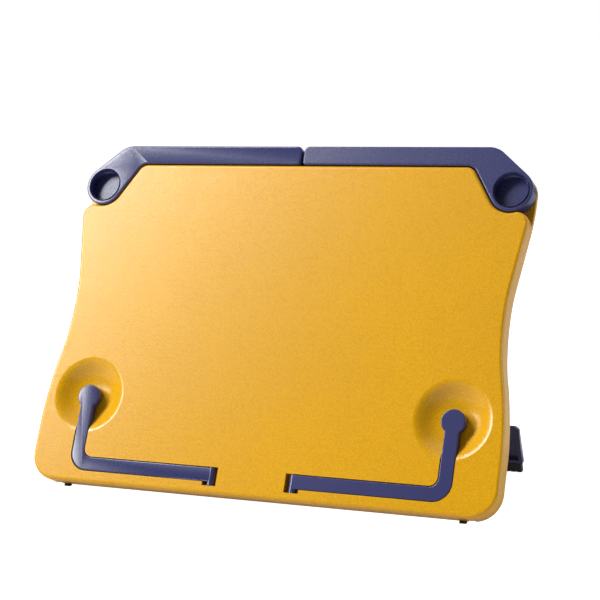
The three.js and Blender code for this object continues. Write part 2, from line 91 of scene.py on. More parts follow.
def seen_and_unseen(tree, socket, seen, unseen):
    """Sets a strength that the lens sees, and another that lights the stand."""
    path = tree.nodes.new("ShaderNodeLightPath")
    amount = tree.nodes.new("ShaderNodeMapRange")
    amount.inputs["To Min"].default_value = unseen
    amount.inputs["To Max"].default_value = seen
    tree.links.new(path.outputs["Is Camera Ray"], amount.inputs["Value"])
    tree.links.new(amount.outputs["Result"], socket)


seen_and_unseen(room.node_tree, room.node_tree.nodes["Background"].inputs["Strength"], 1.0, 0.10)
seen_and_unseen(paper.node_tree, sheet["Emission Strength"], 0.97, 0.12)

# ---- The board's own space ---------------------------------------------------------------
# The board leans back, so its pieces are modelled upright in millimetres: x to the right,
# y from the reading face to the back, z up from the bottom edge. They are then laid in place.
face = next(m for m in frame["record"]["mounts"] if m["name"] == "book_face")
FACE_MOUNT_UP = 110  # the mount's height up the board, mm
lean = math.atan2(face["axis"][2], -face["axis"][1])
BOARD = (
    Matrix.Translation(Vector(face["pos_m"]))
    @ Matrix.Rotation(-lean, 4, "X")
    @ Matrix.Scale(0.001, 4)
    @ Matrix.Translation((0, 0, -FACE_MOUNT_UP))
)


def take(piece):
    """Only this piece is selected and active."""
    if bpy.context.object and bpy.context.object.mode == "EDIT":
        bpy.ops.object.mode_set(mode="OBJECT")
    bpy.ops.object.select_all(action="DESELECT")
    piece.select_set(True)
    bpy.context.view_layer.objects.active = piece


def freeze(piece):
    """The object's place goes into its mesh, so the object sits at the origin, unturned."""
    take(piece)
    bpy.ops.object.transform_apply(location=True, rotation=True, scale=True)


def settle(piece, name, body, material, node, place=None):
    """Lays a finished piece in the row frame, in the place of its plain CAD node."""
    freeze(piece)
    piece.matrix_world = place or BOARD
    freeze(piece)
    piece.name = name
    piece.data.name = name
    piece.data.materials.clear()
    piece.data.materials.append(material)
    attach(piece, body)
    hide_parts(node)


def edges_of(piece, test):
    """Opens the piece in edit mode with the edges selected whose two ends pass the test."""
    take(piece)
    points = piece.data.vertices
    for face_ in piece.data.polygons:
        face_.select = False
    for point in points:
        point.select = False
    for edge in piece.data.edges:
        a, b = (points[i] for i in edge.vertices)
        edge.select = bool(test(a.co, b.co))
        if edge.select:
            a.select = b.select = True
    bpy.context.tool_settings.mesh_select_mode = (False, True, False)
    bpy.ops.object.mode_set(mode="EDIT")


def round_edges(piece, width, steps, test):
    """Bevels the edges whose two ends pass the test to a round of this width."""
    edges_of(piece, test)
    bpy.ops.mesh.bevel(offset_type="OFFSET", offset=width, segments=steps, affect="EDGES")
    bpy.ops.object.mode_set(mode="OBJECT")


def plate(corners, front, back, along="y"):
    """A plate from its outline's corners (x, z, rounding), or (y, z, rounding) along x."""
    bpy.ops.mesh.primitive_circle_add(vertices=len(corners), radius=100, fill_type="NGON")
    piece = bpy.context.object
    lift = Vector((0, 1, 0)) if along == "y" else Vector((1, 0, 0))
    for point, corner in zip(piece.data.vertices, corners):
        flat = (corner[0], 0, corner[1]) if along == "y" else (0, corner[0], corner[1])
        point.co = Vector(flat) + lift * front
    take(piece)
    bpy.ops.object.mode_set(mode="EDIT")
    bpy.ops.mesh.select_all(action="SELECT")
    bpy.ops.mesh.extrude_region_move(TRANSFORM_OT_translate={"value": lift * (back - front)})
    bpy.ops.mesh.select_all(action="SELECT")
    bpy.ops.mesh.normals_make_consistent(inside=False)
    bpy.ops.object.mode_set(mode="OBJECT")
    for a, b, rounding in corners:
        if rounding == 0:
            continue
        spot = Vector((a, 0, b) if along == "y" else (0, a, b))

        def upright(p, q, spot=spot):
            return all((v - lift * v.dot(lift) - spot).length < 0.01 for v in (p, q))

        edges_of(piece, upright)
        steps = max(4, min(24, int(6 + rounding)))
        bpy.ops.mesh.bevel(offset_type="ABSOLUTE", offset=rounding, segments=steps, affect="EDGES")
        bpy.ops.object.mode_set(mode="OBJECT")
    return piece


def both_sides(half):
    """A whole outline from its right half, which runs from the bottom to the top."""
    return half + [(-x, z, r) for x, z, r in reversed(half)]


def arc(centre, radius, start, end, steps):
    """Corners along an arc, from one angle to another in degrees."""
    turns = [math.radians(start + (end - start) * i / steps) for i in range(steps + 1)]
    return [(centre[0] + radius * math.cos(t), centre[1] + radius * math.sin(t), 0) for t in turns]


def grown(half, by):
    """The same corners moved out by some millimetres, square to the outline's sides there."""
    ends = [(-half[0][0], half[0][1], 0), *half, (-half[-1][0], half[-1][1], 0)]
    out = []
    for before, here, after in zip(ends, ends[1:], ends[2:]):
        a = Vector((here[0] - before[0], here[1] - before[1])).normalized()
        b = Vector((after[0] - here[0], after[1] - here[1])).normalized()
        side_a, side_b = Vector((a.y, -a.x)), Vector((b.y, -b.x))
        push = (side_a + side_b) * (by / (1 + side_a.dot(side_b)))
        out.append((here[0] + push.x, here[1] + push.y, here[2]))
    return out


def rod(axis, start, end, radius, at, sides=64, far=None):
    """A round bar along an axis, from start to end; far is its radius at the end."""
    turn = {"x": (0, math.pi / 2, 0), "y": (-math.pi / 2, 0, 0), "z": (0, 0, 0)}[axis]
    middle = (start + end) / 2
    spot = {"x": (middle, *at), "y": (at[0], middle, at[1]), "z": (*at, middle)}[axis]
    bpy.ops.mesh.primitive_cone_add(
        vertices=sides, radius1=radius, radius2=radius if far is None else far,
        depth=end - start, location=spot, rotation=turn)
    freeze(bpy.context.object)
    return bpy.context.object


def block(x, y, z):
    """A box between two places on each axis."""
    middle = [(a + b) / 2 for a, b in (x, y, z)]
    bpy.ops.mesh.primitive_cube_add(size=1, location=middle)
    bpy.context.object.scale = (x[1] - x[0], y[1] - y[0], z[1] - z[0])
    freeze(bpy.context.object)
    return bpy.context.object


def join(piece, tool, how):
    """Joins, cuts or trims the piece with a tool, which is then thrown away."""
    take(piece)
    work = piece.modifiers.new("join", "BOOLEAN")
    work.operation = how
    work.solver = "EXACT"
    work.object = tool
    bpy.ops.object.modifier_apply(modifier=work.name)
    bpy.data.objects.remove(tool)


def cut(piece, *tools):
    for tool in tools:
        join(piece, tool, "DIFFERENCE")


def add(piece, *tools):
    for tool in tools:
        join(piece, tool, "UNION")


def tidy_mesh(piece):
    """Merges doubled points after joining and cutting."""
    take(piece)
    bpy.ops.object.mode_set(mode="EDIT")
    bpy.ops.mesh.select_all(action="SELECT")
    bpy.ops.mesh.remove_doubles(threshold=0.005)
    bpy.ops.mesh.dissolve_degenerate(threshold=0.005)
    bpy.ops.mesh.delete_loose(use_verts=True, use_edges=True, use_faces=False)
    bpy.ops.object.mode_set(mode="OBJECT")


def soften(piece, width, steps=2, angle=35):
    """Small moulded radius on every sharp edge, and smooth shading with flat faces kept flat."""
    tidy_mesh(piece)
    edge = piece.modifiers.new("edge", "BEVEL")
    edge.width = width
    edge.segments = steps
    edge.limit_method = "ANGLE"
    edge.angle_limit = math.radians(angle)
    edge.use_clamp_overlap = True
    bpy.ops.object.modifier_apply(modifier=edge.name)
    bpy.ops.object.shade_smooth_by_angle(angle=math.radians(32))
    normals = piece.modifiers.new("normals", "WEIGHTED_NORMAL")
    normals.keep_sharp = True
    bpy.ops.object.modifier_apply(modifier=normals.name)


def face_out(piece):
    """All faces of a closed piece point outwards."""
    take(piece)
    bpy.ops.object.mode_set(mode="EDIT")
    bpy.ops.mesh.select_all(action="SELECT")
    bpy.ops.mesh.normals_make_consistent(inside=False)
    bpy.ops.object.mode_set(mode="OBJECT")


def copy_across(piece):
    """The left-hand twin of a right-hand piece."""
    take(piece)
    bpy.ops.object.duplicate()
    twin = bpy.context.object
    twin.scale.x = -1
    freeze(twin)
    face_out(twin)
    return twin


def settle_pair(piece, name, body, material, node, place=None):
    """The right-hand piece and its twin, named, riding and replacing as right_ and left_."""
    twin = copy_across(piece)
    for side, half in (("right", piece), ("left", twin)):
        rides = body if body in ("board", "leg") else f"{side}_{body}"
        settle(half, f"{side}_{name}", rides, material, f"{side}_{node}", place)


# ---- Front panel -------------------------------------------------------------------------
# The yellow reading face: one moulding with a waist to hold it by, a finger dish at each lower
# corner and an L-shaped slot for each page holder. The face is grained like soft leather.
HUB = (146.2, 209)
SEAT = 14.8
DEPTH = 10
SKIN = 2.2
DISH = (127.5, 59.2)
HOLDER_HINGE = 28.5
lower_side = [(161.8, 0, 18), (161.3, 63, 24), (149.4, 116, 30)]
panel_half = lower_side + [
    (160.7, 193.2, 7.5), (149.3, 195.5, 0), (146.2, 205, 0), (133.6, 201.3, 0), (119.3, 224.6, 4)]


def hub_hole(side, front, back, radius):
    return rod("y", front, back, radius, (side * HUB[0], HUB[1]), 96)


def holder_path(side, front, back, grow, knob=0):
    """The L that a page holder and its slot follow: bar, bend and leg, or with a round knob."""
    low, high = 8.0 - grow, 17.0 + grow
    inner, outer = 123.2 - grow, 132.4 + grow
    top = DISH[1] - 1
    corners = [(HOLDER_HINGE, low, 0), (outer, low, 12.5)]
    if knob:
        centre, neck = ((inner + outer) / 2, top), math.degrees(math.asin(4.6 / knob))
        corners += arc(centre, knob, neck - 90, 270 - neck, 48)
    else:
        corners += [(outer, top, 0), (inner, top, 0)]
    corners += [(inner, high, 5.5), (HOLDER_HINGE, high, 0)]
    return plate([(side * x, z, r) for x, z, r in corners], front, back)


def turned_piece(profile, steps):
    """A body turned about the Y axis from its profile (radius, y), which ends on the axis."""
    bpy.ops.mesh.primitive_circle_add(vertices=len(profile), radius=100, fill_type="NOTHING")
    piece = bpy.context.object
    for point, (radius, y) in zip(piece.data.vertices, profile):
        point.co = (radius, y, 0)
    bpy.ops.object.mode_set(mode="EDIT")
    bpy.ops.mesh.select_all(action="SELECT")
    bpy.ops.mesh.spin(steps=steps, angle=2 * math.pi, center=(0, 0, 0), axis=(0, 1, 0))
    bpy.ops.object.mode_set(mode="OBJECT")
    tidy_mesh(piece)
    face_out(piece)
    return piece


def moved(piece, x, z):
    """The piece shifted along the board, its place in its mesh."""
    piece.location = (x, 0, z)
    freeze(piece)
    return piece


def dish_hollow(side):
    """The dish is a smooth bowl: level in the middle, and it runs out flush into the face."""
    rings, reach, deep, fullness = 28, 26.3, 7.4, 2.0
    profile = [(0, -1), (reach, -1), (reach, -0.02)]
    for ring in range(rings - 1, 0, -1):
        share = ring / rings
        fall = 0.5 + 0.5 * math.cos(math.pi * share ** fullness)
        profile.append((reach * share, deep * fall - 0.02))
    profile.append((0, deep))
    return moved(turned_piece(profile, 96), side * DISH[0], DISH[1])


def dish_back(side):
    """The bowl of even wall behind the dish is part of a flattened ball."""
    bpy.ops.mesh.primitive_uv_sphere_add(
        segments=64, ring_count=32, radius=1, location=(side * DISH[0], -1.6, DISH[1]),
        rotation=(math.pi / 2, 0, 0))
    ball = bpy.context.object
    ball.scale = (27, 27, 10.8)
    freeze(ball)
    join(ball, block((-200, 200), (0.6, 12), (-20, 260)), "INTERSECT")
    return ball


front_panel = plate(both_sides(panel_half), 0, DEPTH)
for side in (1, -1):
    cut(front_panel, hub_hole(side, -2, DEPTH + 2, SEAT))
tidy_mesh(front_panel)
round_edges(front_panel, 2.3, 6, lambda a, b: a.y < 0.01 and b.y < 0.01)
hollow = plate(both_sides(grown(panel_half, -SKIN)), SKIN, DEPTH + 2)
for side in (1, -1):
    cut(hollow, hub_hole(side, -2, DEPTH + 4, SEAT + SKIN))
cut(front_panel, hollow)
for side in (1, -1):
    add(front_panel, dish_back(side), holder_path(side, 0.6, 7.5, 2.0))
    hinge_at = side * HOLDER_HINGE
    add(front_panel, block((hinge_at - 5.6, hinge_at + 5.6), (0.6, 7.5), (1, 23.6)))
    cut(front_panel, dish_hollow(side), holder_path(side, -2, 5.9, 0.4))
    pocket = sorted((side * 23.6, side * 33.5))
    cut(front_panel, block(pocket, (-2, 5.9), (5.2, 17.5)))
    cut(front_panel, rod("z", 2.1, 22.9, 1.3, (side * HOLDER_HINGE, 2.8), 32))
soften(front_panel, 0.45, 2, 40)


def node_group(name, inputs, outputs):
    """An empty node group with its numbers in and its values out."""
    group = bpy.data.node_groups.new(name, "ShaderNodeTree")
    for label, value in inputs:
        socket = group.interface.new_socket(label, in_out="INPUT", socket_type="NodeSocketFloat")
        socket.default_value = value
    for label in outputs:
        group.interface.new_socket(label, in_out="OUTPUT", socket_type="NodeSocketFloat")
    return group, group.nodes.new("NodeGroupInput").outputs, group.nodes.new("NodeGroupOutput").inputs


def wire(tree, source, target):
    tree.links.new(source, target)


def sum_node(tree, how, a, b):
    """A maths node on two numbers or sockets."""
    node = tree.nodes.new("ShaderNodeMath")
    node.operation = how
    for socket, value in zip(node.inputs, (a, b)):
        if isinstance(value, (int, float)):
            socket.default_value = value
        else:
            tree.links.new(value, socket)
    return node.outputs[0]


def ramp_node(tree, value, low, high, start=0.0, end=1.0):
    """Maps a value between low and high to start and end, and stops there."""
    node = tree.nodes.new("ShaderNodeMapRange")
    wire(tree, value, node.inputs["Value"])
    spans = (("From Min", low), ("From Max", high), ("To Min", start), ("To Max", end))
    for label, number in spans:
        node.inputs[label].default_value = number
    return node.outputs["Result"]


# Moulded grain: soft pebbles between fine creases, as in leather.
grain, g_in, g_out = node_group("leather_grain", [("Scale", 700.0), ("Crease", 0.12)], ["Height"])
where = grain.nodes.new("ShaderNodeTexCoord").outputs["Object"]
drift = grain.nodes.new("ShaderNodeTexNoise")
drift.inputs["Detail"].default_value = 3
wire(grain, where, drift.inputs["Vector"])
wire(grain, g_in["Scale"], drift.inputs["Scale"])
shift = grain.nodes.new("ShaderNodeVectorMath")
shift.operation = "MULTIPLY_ADD"
wire(grain, drift.outputs["Color"], shift.inputs[0])
shift.inputs[1].default_value = (0.0005, 0.0005, 0.0005)
wire(grain, where, shift.inputs[2])
pebbles = grain.nodes.new("ShaderNodeTexVoronoi")
pebbles.feature = "DISTANCE_TO_EDGE"
wire(grain, shift.outputs[0], pebbles.inputs["Vector"])
wire(grain, g_in["Scale"], pebbles.inputs["Scale"])
crease = sum_node(grain, "DIVIDE", pebbles.outputs["Distance"], g_in["Crease"])
crease = sum_node(grain, "MINIMUM", crease, 1.0)
tops = sum_node(grain, "MULTIPLY", drift.outputs["Fac"], 0.6)
wire(grain, sum_node(grain, "ADD", crease, tops), g_out["Height"])

# Edge wear and a painted highlight: how far the surface is rounded away from its own flat normal.
wear_and_highlight, w_in, w_out = node_group("worn_and_highlit_edge", [("Radius", 0.0012), ("Patchiness", 60.0)], ["Mask"])
rounded = wear_and_highlight.nodes.new("ShaderNodeBevel")
rounded.samples = 4
wire(wear_and_highlight, w_in["Radius"], rounded.inputs["Radius"])
turned = wear_and_highlight.nodes.new("ShaderNodeVectorMath")
turned.operation = "DOT_PRODUCT"
wire(wear_and_highlight, rounded.outputs["Normal"], turned.inputs[0])
wire(wear_and_highlight, wear_and_highlight.nodes.new("ShaderNodeNewGeometry").outputs["Normal"], turned.inputs[1])
away = sum_node(wear_and_highlight, "SUBTRACT", 1.0, turned.outputs["Value"])
patches = wear_and_highlight.nodes.new("ShaderNodeTexNoise")
wire(wear_and_highlight, wear_and_highlight.nodes.new("ShaderNodeTexCoord").outputs["Object"], patches.inputs["Vector"])
wire(wear_and_highlight, w_in["Patchiness"], patches.inputs["Scale"])
some = ramp_node(wear_and_highlight, patches.outputs["Fac"], 0.35, 0.6, 0.35, 1.0)
wire(wear_and_highlight, sum_node(wear_and_highlight, "MULTIPLY", ramp_node(wear_and_highlight, away, 0.02, 0.25), some), w_out["Mask"])

# Mottle: broad flow marks in the plastic and fine specks, as one value about one half.
mottle, m_in, m_out = node_group("mottle", [("Broad", 9.0), ("Fine", 900.0)], ["Value"])
where = mottle.nodes.new("ShaderNodeTexCoord").outputs["Object"]
layers = []
for label, share in (("Broad", 0.6), ("Fine", 0.4)):
    cloud = mottle.nodes.new("ShaderNodeTexNoise")
    cloud.inputs["Detail"].default_value = 4
    wire(mottle, where, cloud.inputs["Vector"])
    wire(mottle, m_in[label], cloud.inputs["Scale"])
    layers.append(sum_node(mottle, "MULTIPLY", ramp_node(mottle, cloud.outputs["Fac"], 0.3, 0.7), share))
wire(mottle, sum_node(mottle, "ADD", *layers), m_out["Value"])


def finish(name, dark, light, edge, rough, bump, scale=700.0, crease=0.12, edge_share=0.5,
           wide=0.0012, crease_shade=0.0):
    """A material: mottled colour, edges worn and lightened with a painted highlight, painted shade in the
    creases, uneven gloss and a grain in its surface.
    """
    made = bpy.data.materials.new(name)
    made.use_nodes = True
    tree = made.node_tree
    shader = tree.nodes["Principled BSDF"]
    groups = {}
    for group in (mottle, wear_and_highlight, grain):
        groups[group.name] = tree.nodes.new("ShaderNodeGroup")
        groups[group.name].node_tree = group
    groups["worn_and_highlit_edge"].inputs["Radius"].default_value = wide
    groups["leather_grain"].inputs["Scale"].default_value = scale
    groups["leather_grain"].inputs["Crease"].default_value = crease
    value = groups["mottle"].outputs["Value"]
    body = tree.nodes.new("ShaderNodeMix")
    body.data_type = "RGBA"
    body.inputs["A"].default_value = (*dark, 1)
    body.inputs["B"].default_value = (*light, 1)
    wire(tree, value, body.inputs["Factor"])
    coat = tree.nodes.new("ShaderNodeMix")
    coat.data_type = "RGBA"
    coat.inputs["B"].default_value = (*edge, 1)
    wire(tree, body.outputs["Result"], coat.inputs["A"])
    # The lighter edge colour goes on rounded edges: rubbed wear in patches, and a painted highlight.
    mask = sum_node(tree, "MULTIPLY", groups["worn_and_highlit_edge"].outputs["Mask"], edge_share)
    wire(tree, mask, coat.inputs["Factor"])
    # Painted shade: the colour is darkened in the grain's creases, by crease_shade.
    shade = tree.nodes.new("ShaderNodeMix")
    shade.data_type = "RGBA"
    shade.blend_type = "MULTIPLY"
    shade.inputs["Factor"].default_value = 1.0
    wire(tree, coat.outputs["Result"], shade.inputs["A"])
    height = groups["leather_grain"].outputs["Height"]
    wire(tree, ramp_node(tree, height, 0.5, 1.4, 1.0 - crease_shade, 1.0), shade.inputs["B"])
    wire(tree, shade.outputs["Result"], shader.inputs["Base Color"])
    wire(tree, ramp_node(tree, value, 0.0, 1.0, *rough), shader.inputs["Roughness"])
    relief = tree.nodes.new("ShaderNodeBump")
    relief.inputs["Strength"].default_value = bump
    relief.inputs["Distance"].default_value = 0.0003
    wire(tree, height, relief.inputs["Height"])
    wire(tree, relief.outputs["Normal"], shader.inputs["Normal"])
    return made


yellow = finish(
    "grained_yellow", (0.67, 0.330, 0.001), (0.76, 0.385, 0.002), (0.85, 0.48, 0.03),
    (0.28, 0.22), 0.12, scale=560.0, crease=0.22, crease_shade=0.16)
settle(front_panel, "front_panel_shell", "board", yellow, "front_panel")

# ---- Top arms ----------------------------------------------------------------------------
# Two blue arms close the board's top corners. Each turns on a hub with a finger recess in its
# face; the long strip is a ribbed channel behind, and a spigot goes through the rear shell.
ARM_HUB = 14.2
ARM_LOW, ARM_HIGH = 225.2, 238.2
SPIGOT = (5.5, 12.8)
inner_slope, outer_slope = 58.5, 41.0


def slope_meets(angle, slope, level):
    """Where the line that leaves the hub's circle at this slope meets a level."""
    turn = math.radians(angle)
    x, z = HUB[0] + ARM_HUB * math.cos(turn), HUB[1] + ARM_HUB * math.sin(turn)
    return x - (level - z) / math.tan(math.radians(slope))


inner_bend = slope_meets(270 - inner_slope, inner_slope, ARM_LOW)
outer_bend = slope_meets(90 - outer_slope, outer_slope, ARM_HIGH)
arm = plate(
    [(0.8, ARM_LOW, 2.4), (inner_bend, ARM_LOW, 4)]
    + arc(HUB, ARM_HUB, 270 - inner_slope, 450 - outer_slope, 72)
    + [(outer_bend, ARM_HIGH, 5), (0.8, ARM_HIGH, 3.4)], 0, DEPTH)
round_edges(arm, 1.1, 4, lambda a, b: a.y < 0.01 and b.y < 0.01)
round_edges(arm, 0.5, 2, lambda a, b: a.y > DEPTH - 0.01 and b.y > DEPTH - 0.01)
cut(arm, rod("y", 0, 7, 11.5, HUB, 96, 10.6), rod("y", -2, 0.01, 11.5, HUB, 96))


def hub_ring(radius, level):
    def ring(a, b):
        reach = [math.hypot(p.x - HUB[0], p.z - HUB[1]) for p in (a, b)]
        return all(abs(r - radius) < 0.1 and abs(p.y - level) < 0.02 for r, p in zip(reach, (a, b)))
    return ring


tidy_mesh(arm)
round_edges(arm, 0.7, 4, hub_ring(11.5, 0))
add(arm, rod("y", DEPTH - 0.5, SPIGOT[1], SPIGOT[0], HUB, 64))
cut(arm, rod("y", 8.2, 14, 1.6, HUB, 32))
bays = 5
for bay in range(bays):
    start = 6 + 22 * bay
    cut(arm, block((start + 0.8, start + 21.2), (2.4, 11), (ARM_LOW + 2.4, ARM_HIGH - 2.4)))
soften(arm, 0.3, 2, 40)
blue = finish(
    "satin_blue", (0.024, 0.027, 0.103), (0.033, 0.037, 0.136), (0.09, 0.095, 0.22),
    (0.30, 0.24), 0.07, scale=1100.0, crease=0.2, edge_share=0.6)
blue.node_tree.nodes["Principled BSDF"].inputs["Specular IOR Level"].default_value = 0.6
settle_pair(arm, "top_arm_moulding", "arm", blue, "top_arm")

# ---- Arm washers and screws --------------------------------------------------------------
# Behind the board a broad washer and a pan-head screw hold each arm's spigot, sunk in a
# counterbore of the rear shell. Both are zinc-plated steel.
def screw_body(tip, seat, head, shank, head_radius, steps=40):
    """A pan-head screw with a rolled thread and a cross recess, its head towards the back."""
    pitch = 0.9
    threads = int((seat - tip - 1.2) / pitch)
    profile = [(0, tip), (shank * 0.55, tip), (shank, tip + 1)]
    for turn in range(threads):
        y = tip + 1 + turn * pitch
        profile += [(shank, y + 0.25), (shank - 0.28, y + 0.5), (shank - 0.28, y + 0.65)]
    profile += [(shank, seat - 0.1), (shank, seat), (head_radius - 0.15, seat)]
    profile += [(head_radius, seat + 0.2), (head_radius - 0.05, head - 0.55)]
    profile += [(head_radius * 0.82, head - 0.18), (head_radius * 0.5, head - 0.03), (0, head)]
    screw = turned_piece(profile, steps)
    arm_long, arm_wide, deep = head_radius * 0.6, 0.36, 0.9
    for x, z in ((arm_long, arm_wide), (arm_wide, arm_long)):
        cut(screw, block((-x, x), (head - deep, head + 1), (-z, z)))
    soften(screw, 0.07, 1, 50)
    return screw


zinc = finish(
    "bright_zinc", (0.50, 0.51, 0.53), (0.68, 0.69, 0.70), (0.85, 0.86, 0.88),
    (0.42, 0.24), 0.05, scale=2600.0, crease=0.5, edge_share=0.5, wide=0.0004)
zinc.node_tree.nodes["Principled BSDF"].inputs["Metallic"].default_value = 1.0
washer = turned_piece(
    [(1.9, 13.3), (8.7, 13.3), (9.0, 13.45), (9.0, 13.75), (8.7, 13.9), (2.1, 13.9), (1.9, 13.8)], 72)
soften(washer, 0.06, 1, 50)
settle_pair(moved(washer, *HUB), "arm_washer_zinc", "arm", zinc, "arm_washer")
arm_screw = moved(screw_body(8.6, 14.2, 14.95, 1.3, 3.4), *HUB)
settle_pair(arm_screw, "arm_screw_zinc", "arm", zinc, "arm_screw")

# ---- Page holders and pins ---------------------------------------------------------------
# Each blue page holder is one L-shaped moulding that lies flush in its slot. A knob over the
# finger dish lifts it out, and it swings on a steel pin through the barrel at its inner end.
holder = holder_path(1, 0.15, 5.45, 0, knob=7.8)
round_edges(holder, 0.7, 4, lambda a, b: a.y < 0.16 and b.y < 0.16)
add(holder, rod("z", 5.6, 17.1, 2.65, (HOLDER_HINGE, 2.8), 48))
cut(holder, rod("z", 0, 30, 1.3, (HOLDER_HINGE, 2.8), 32))
# Cored out behind, so the wall is even and the face doesn't sink.
for start in (36, 56, 76, 96):
    cut(holder, block((start, start + 17), (2.2, 6), (10, 15)))
cut(holder, block((125.4, 130.2), (2.2, 6), (24, 44)))
soften(holder, 0.25, 2, 40)
settle_pair(holder, "page_holder_moulding", "holder", blue, "page_holder")
pin = rod("z", 2.4, 22.6, 1, (HOLDER_HINGE, 2.8), 32)
round_edges(pin, 0.25, 3, lambda a, b: abs(a.z - b.z) < 0.01)
soften(pin, 0.02, 1, 60)
settle_pair(pin, "holder_pin_steel", "board", zinc, "holder_pin")

# ---- Rear shell --------------------------------------------------------------------------
# The yellow back moulding is screwed to the front panel. The leg folds into its recess, the
# click hinge sits in the pocket at the top, and every screw is sunk in a boss.
SHELL_FRONT = 10.3
THICK = 15
LEG_HINGE = (9.9, 215)
SHELL_SCREWS = [(150, 17), (141, 104), (143, 161), (80, 214), (66, 52)]
PAD = (136, 140.5)
fold = next(j for j in frame["record"]["behaviour"]["joints"] if j["name"] == "leg_fold")
leg_turn = math.radians(-fold["range_deg"][0])  # it folds flat at its lower limit
leg_lean = leg_turn - lean
hinge_height = fold["pos_m"][2] * 1000


def ground_under_leg(y):
    """How far down the ground is, in the leg's own space, at a place y on its depth."""
    return -(hinge_height + y * math.sin(leg_lean)) / math.cos(leg_lean)


LEG_BACK, LEG_FACE = 4.9, -0.1
leg_bottom = ground_under_leg(LEG_FACE) + 2.6
bar_top = leg_bottom + 31
leg_half = [(136, leg_bottom, 3), (134.5, bar_top, 3), (32, bar_top, 22), (38, -20, 0), (38, 0, 0)]


def leg_shape(below, spread, front, back, up=0.0):
    """The leg's outline as a plate, its foot bar reaching further down by below."""
    half = [(leg_half[0][0], leg_bottom - below, 3)] + leg_half[1:]
    return plate([(x, z + up, r) for x, z, r in both_sides(grown(half, spread))], front, back)


shell_half = (
    lower_side + [(160.4, 193, 10)] + arc(HUB, ARM_HUB, 0, 90 - outer_slope, 20)
    + [(outer_bend, ARM_HIGH, 5)])
rear_shell = plate(both_sides(shell_half), SHELL_FRONT, THICK)
round_edges(rear_shell, 1.9, 5, lambda a, b: a.y > THICK - 0.01 and b.y > THICK - 0.01)
hollow = plate(both_sides(grown(panel_half, -SKIN - 0.4)), 9, 13.2)
for side in (1, -1):
    cut(hollow, hub_hole(side, -2, THICK + 4, SEAT + SKIN + 0.4))
cut(rear_shell, hollow)
hinge_y, hinge_z = LEG_HINGE
add(rear_shell, leg_shape(3.9, 2.3, 7.9, 14.4, hinge_z))
add(rear_shell, block((-60, 60), (3.4, 14.4), (hinge_z - 6.8, hinge_z + 6.8)))
for x, z in SHELL_SCREWS:
    for side in (1, -1):
        add(rear_shell, rod("y", SHELL_FRONT, 14.2, 5, (side * x, z), 48))
cut(rear_shell, leg_shape(3.9, 0.7, 9.5, THICK + 1, hinge_z))
cut(rear_shell, block((-54.2, 54.2), (4.75, THICK + 1), (hinge_z - 5.4, hinge_z + 5.25)))
cut(rear_shell, rod("x", -58, 58, 1.8, LEG_HINGE, 32))
for side in (1, -1):
    for x, z in SHELL_SCREWS:
        cut(rear_shell, rod("y", 9, THICK, 1.7, (side * x, z), 32))
        cut(rear_shell, rod("y", 12.8, THICK + 1, 3.5, (side * x, z), 48))
    cut(rear_shell, hub_hole(side, 9, THICK, SPIGOT[0] + 0.3))
    cut(rear_shell, hub_hole(side, 13, THICK + 1, 9.6))
    cut(rear_shell, block(sorted((side * (PAD[0] - 0.3), side * (PAD[1] + 0.3))), (12.1, 14.9), (-2, 1.6)))
    cut(rear_shell, block(sorted((side * (PAD[1] + 1.2), side * (PAD[1] + 6))), (9.3, 20), (-2, 1.5)))
soften(rear_shell, 0.4, 2, 40)
settle(rear_shell, "rear_shell_moulding", "board", yellow, "rear_shell")

# ---- Shell screws ------------------------------------------------------------------------
# Ten small pan-head screws, five a side, sunk in the rear shell's bosses. They bite into the
# front panel and are modelled once, then copied.
pattern = screw_body(6, 13.1, 14.9, 1.3, 3.1)
for number, place in enumerate(SHELL_SCREWS, start=1):
    take(pattern)
    bpy.ops.object.duplicate()
    here = moved(bpy.context.object, *place)
    settle_pair(here, f"shell_screw_{number}_zinc", "board", zinc, f"shell_screw_{number}")
bpy.data.objects.remove(pattern)

# ---- Rear leg ----------------------------------------------------------------------------
# One wide blue moulding, an upside-down T. Its foot bar is hollow and ribbed on the side that
# folds against the board, and two knuckles at its top carry the click hinge's face teeth.
LEG = BOARD @ Matrix.Translation((0, *LEG_HINGE)) @ Matrix.Rotation(leg_turn, 4, "X")
HINGE_SPACE = BOARD @ Matrix.Translation((0, *LEG_HINGE))
KNUCKLE = (19, 39.2)
ROD_HOLE = 1.8
leg = leg_shape(0, 0, LEG_FACE, LEG_BACK)
round_edges(leg, 1.2, 4, lambda a, b: a.y > LEG_BACK - 0.01 and b.y > LEG_BACK - 0.01)
inside = leg_shape(0, -2.4, LEG_FACE - 1, LEG_BACK - 2)
cut(inside, block((-90, 90), (-3, 9), (-12, 2)), block((-34, 34), (-3, 9), (bar_top - 1, bar_top + 1)))
cut(inside, block((-140, 140), (-3, 9), (leg_bottom - 1, leg_bottom + 6.4)))
for z in (-55, -100, -145):
    cut(inside, block((-60, 60), (-3, 9), (z - 0.9, z + 0.9)))
for x in (-98, -66, -32, 0, 32, 66, 98):
    top = bar_top + 8 if abs(x) == 32 else bar_top
    cut(inside, block((x - 0.9, x + 0.9), (-3, 9), (leg_bottom, top)))
cut(leg, inside)
cut(leg, block((-60, 60), (-6, LEG_FACE - 0.01), (-9, 9)), block((-19, 19), (-6, 6), (-7.5, 7)))
for side in (1, -1):
    start, end = sorted((side * KNUCKLE[0], side * KNUCKLE[1]))
    add(leg, rod("x", start, end, 4.8, (0, 0), 64))


def teeth(piece, start, end, radius, first):
    """Six ridges across a knuckle's or a disc's end face."""
    for tooth in range(6):
        ridge = block((start, end), (-radius, radius), (-0.4, 0.4))
        ridge.rotation_euler.x = math.radians(first + 30 * tooth)
        freeze(ridge)
        add(piece, ridge)


